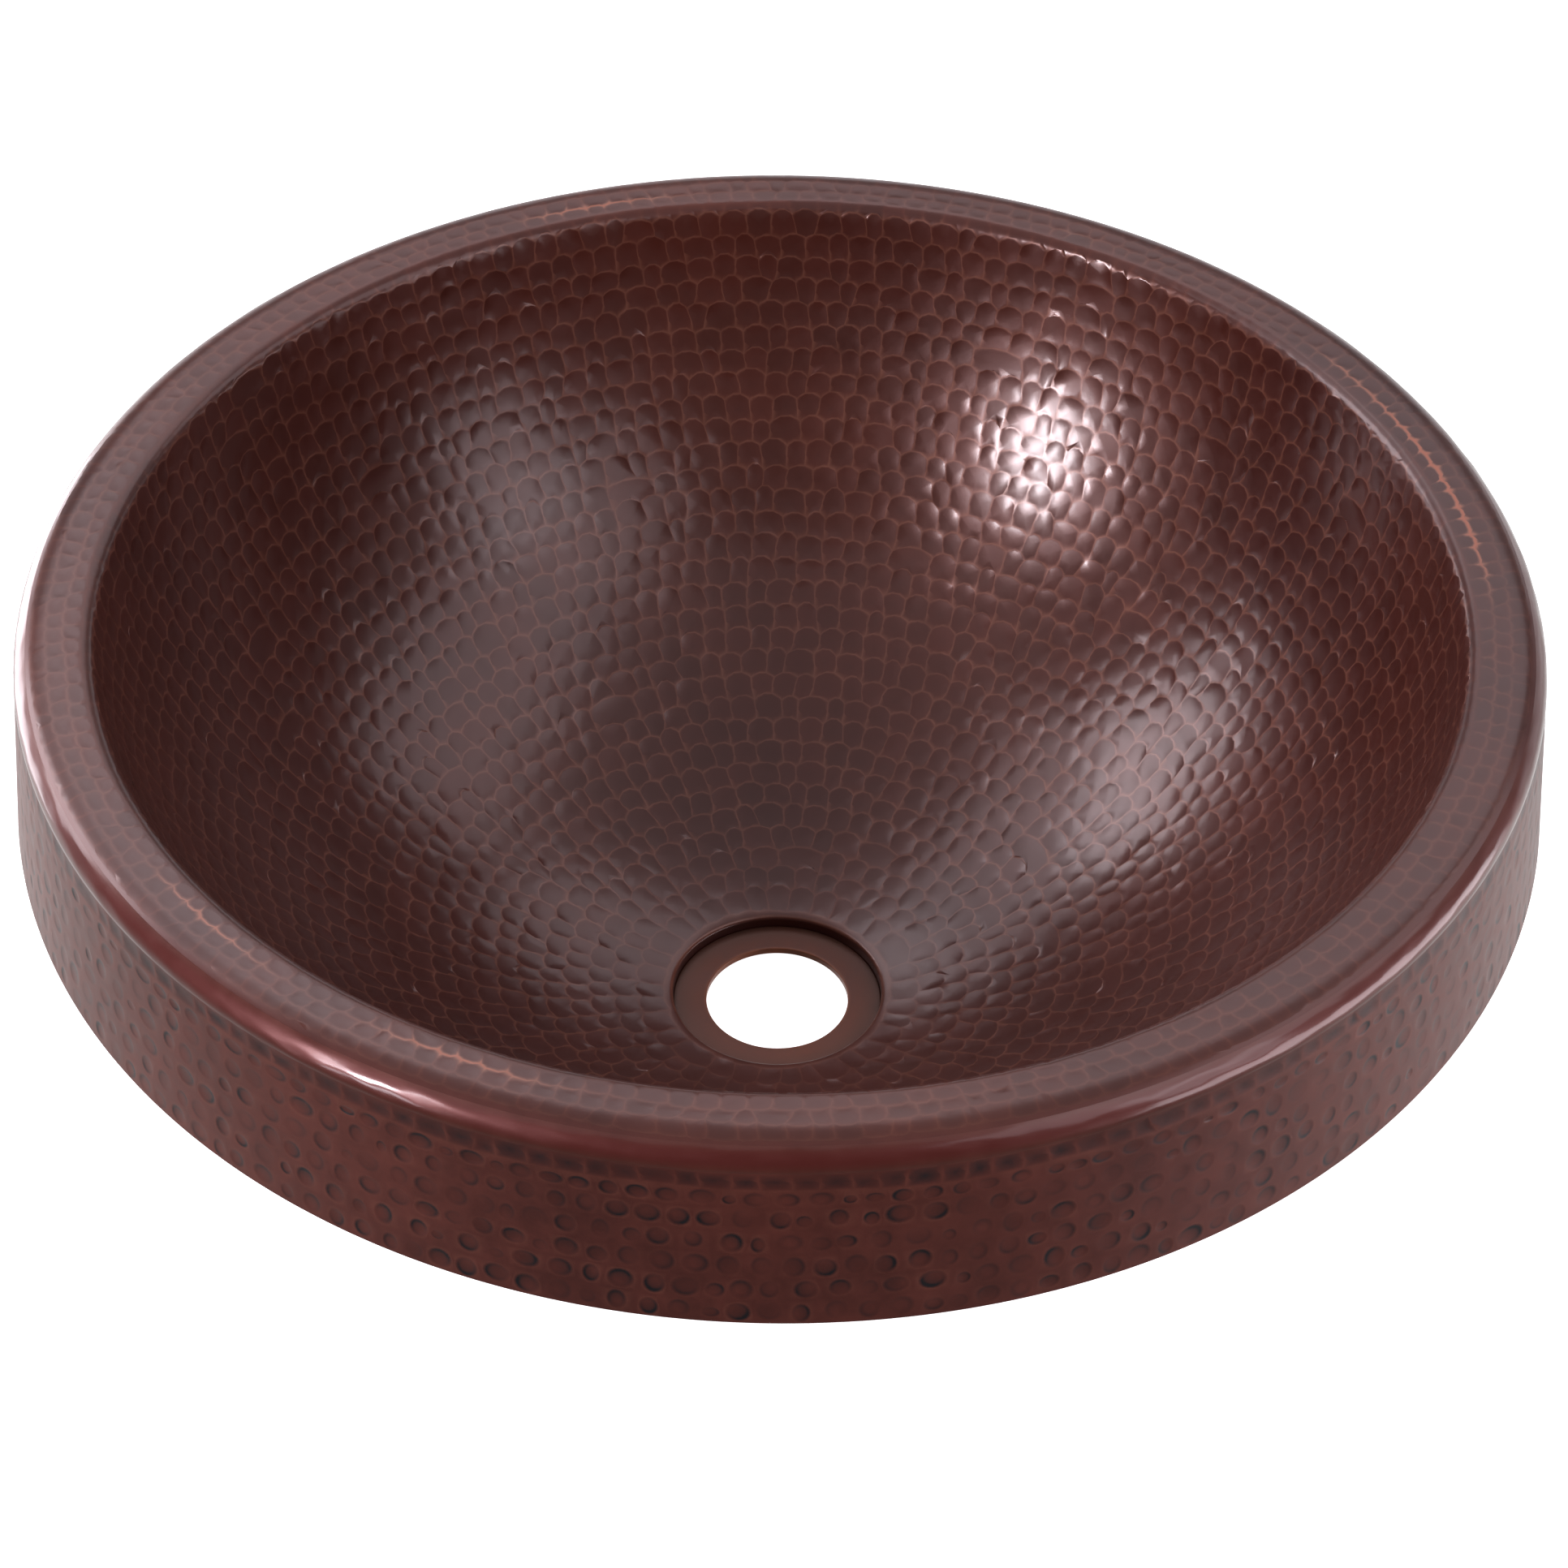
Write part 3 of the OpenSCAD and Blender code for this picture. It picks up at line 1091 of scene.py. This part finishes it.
# Where the camera stands, seen from a point on the bowl's axis this far over the rim's top
CAMERA_BASE = 4.2 * MM
CAMERA_DISTANCE = 6 * RIM_R
CAMERA_ELEVATION = math.radians(39.36)
# Which way it looks, and its lens and sensor in millimetres
CAMERA_PITCH = math.radians(41.85)
CAMERA_YAW = math.radians(0.08)
CAMERA_ROLL = math.radians(0.62)
CAMERA_LENS = 105.4
CAMERA_SENSOR = 36

# Half the floor's width, and how far below the basin it lies
FLOOR_REACH = 4
FLOOR_DROP = 0.2 * MM


def make_camera():
    """The photograph's view: six rim radii away, looking down into the bowl."""
    data = bpy.data.cameras.new("camera")
    data.sensor_width = CAMERA_SENSOR
    data.lens = CAMERA_LENS
    camera = bpy.data.objects.new("camera", data)
    bpy.context.scene.collection.objects.link(camera)
    back = CAMERA_DISTANCE * math.cos(CAMERA_ELEVATION)
    up = CAMERA_DISTANCE * math.sin(CAMERA_ELEVATION)
    place = Matrix.Translation((0.0, -back, TOP_Z + CAMERA_BASE + up))
    yaw = Matrix.Rotation(-CAMERA_YAW, 4, "Z")
    pitch = Matrix.Rotation(math.pi / 2 - CAMERA_PITCH, 4, "X")
    roll = Matrix.Rotation(CAMERA_ROLL, 4, "Z")
    camera.matrix_world = place @ yaw @ pitch @ roll
    bpy.context.scene.camera = camera


def make_floor():
    """A white floor that only the camera sees. It gives the basin no light and no shadow."""
    mesh = bpy.data.meshes.new("floor")
    signs = ((-1, -1), (1, -1), (1, 1), (-1, 1))
    corners = [(x * FLOOR_REACH, y * FLOOR_REACH, -FLOOR_DROP) for x, y in signs]
    mesh.from_pydata(corners, [], [(0, 1, 2, 3)])
    mesh.materials.append(floor_finish())
    floor = bpy.data.objects.new("floor", mesh)
    bpy.context.scene.collection.objects.link(floor)
    floor.visible_diffuse = False
    floor.visible_glossy = False
    floor.visible_shadow = False


# How far the soft boxes stand from the bowl, and the colour of their light
LIGHT_DISTANCE = 1.6
LIGHT_TINT = (1.0, 0.94, 1.0)
# How bright the world is all around, and towards the floor at the back
WORLD_GLOW = 0.125
FLOOR_GLOW = 1.0
# The floor's glow grows over these directions from front to back, and ends over these from below up
GLOW_BACK = (-0.5, 0.7)
GLOW_UP = (-0.5, 0.1)
# The soft boxes around the bowl: azimuth and elevation of the middle, width and height, all in
# degrees seen from the bowl, and how bright the box's face is
SOFT_BOXES = {
    "key": (-128, 22, 7, 14, 58.0),
    "key_low": (-130, 2, 10, 8, 10.0),
    "left_low": (-50, -6, 36, 24, 4.6),
    "left": (-64, 28, 26, 24, 5.0),
    "left_high": (-50, 48, 50, 24, 1.1),
    "right_low": (104, -6, 60, 24, 3.7),
    "right": (123, 24, 18, 24, 1.8),
    "right_high": (104, 42, 80, 26, 1.1),
    "back": (10, 45, 50, 26, 0.95),
    "back_low": (0, 2, 130, 28, 0.5),
    "top": (0, 88, 85, 85, 0.28),
}


def soft_box(name, azimuth, elevation, width, height, glow):
    """A soft light that faces the bowl."""
    data = bpy.data.lights.new(name, "AREA")
    data.shape = "RECTANGLE"
    data.size = 2 * LIGHT_DISTANCE * math.tan(math.radians(width / 2))
    data.size_y = 2 * LIGHT_DISTANCE * math.tan(math.radians(height / 2))
    data.energy = glow * math.pi * data.size * data.size_y
    data.color = LIGHT_TINT
    light = bpy.data.objects.new(name, data)
    bpy.context.scene.collection.objects.link(light)
    a, e = math.radians(azimuth), math.radians(elevation)
    away = Vector((math.sin(a) * math.cos(e), math.cos(a) * math.cos(e), math.sin(e)))
    light.location = Vector((0, 0, TOP_Z / 2)) + away * LIGHT_DISTANCE
    light.rotation_mode = "QUATERNION"
    light.rotation_quaternion = away.to_track_quat("Z", "Y")


def make_world():
    """Dim light from all around, brighter from the floor behind, and white where the camera sees it."""
    world = bpy.data.worlds.new("studio")
    world.use_nodes = True
    tree = world.node_tree
    background = tree.nodes["Background"]
    background.inputs["Color"].default_value = (1, 1, 1, 1)

    def ramp(source, span, start, end):
        """Runs smoothly from start to end as source goes over the span."""
        node = tree.nodes.new("ShaderNodeMapRange")
        node.interpolation_type = "SMOOTHSTEP"
        tree.links.new(source, node.inputs["Value"])
        node.inputs["From Min"].default_value, node.inputs["From Max"].default_value = span
        for socket, value in (("To Min", start), ("To Max", end)):
            if isinstance(value, bpy.types.NodeSocket):
                tree.links.new(value, node.inputs[socket])
            else:
                node.inputs[socket].default_value = value
        return node.outputs["Result"]

    direction = tree.nodes.new("ShaderNodeSeparateXYZ")
    tree.links.new(tree.nodes.new("ShaderNodeTexCoord").outputs["Generated"], direction.inputs["Vector"])
    floor_light = ramp(direction.outputs["Y"], GLOW_BACK, WORLD_GLOW, FLOOR_GLOW)
    light = ramp(direction.outputs["Z"], GLOW_UP, floor_light, WORLD_GLOW)
    seen = tree.nodes.new("ShaderNodeLightPath").outputs["Is Camera Ray"]
    tree.links.new(ramp(seen, (0, 1), light, 1.0), background.inputs["Strength"])
    bpy.context.scene.world = world


# Each piece: what makes it, its finish, the CAD node it replaces and its material slot
PIECES = (
    (make_bowl, bowl_finish, "bowl_shell", "hammered_copper"),
    (make_corner_weld, weld_finish, "rim_weld", "polished_weld"),
    (make_skirt, skirt_finish, "skirt_band", "dimpled_copper"),
    (make_seam, seam_finish, "skirt_seam_weld", "seam_weld"),
    (make_seat, seat_finish, "drain_seat_ring", "smooth_copper"),
    (make_brazing, brazing_finish, "drain_braze_ring", "brazing"),
)

for make, finish, node, slot in PIECES:
    piece = make()
    piece.data.materials.append(finish())
    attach(piece, "root")
    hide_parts(node)
make_floor()
for box_name, numbers in SOFT_BOXES.items():
    soft_box(box_name, *numbers)
make_world()
make_camera()
bpy.context.scene.view_settings.view_transform = "Standard"
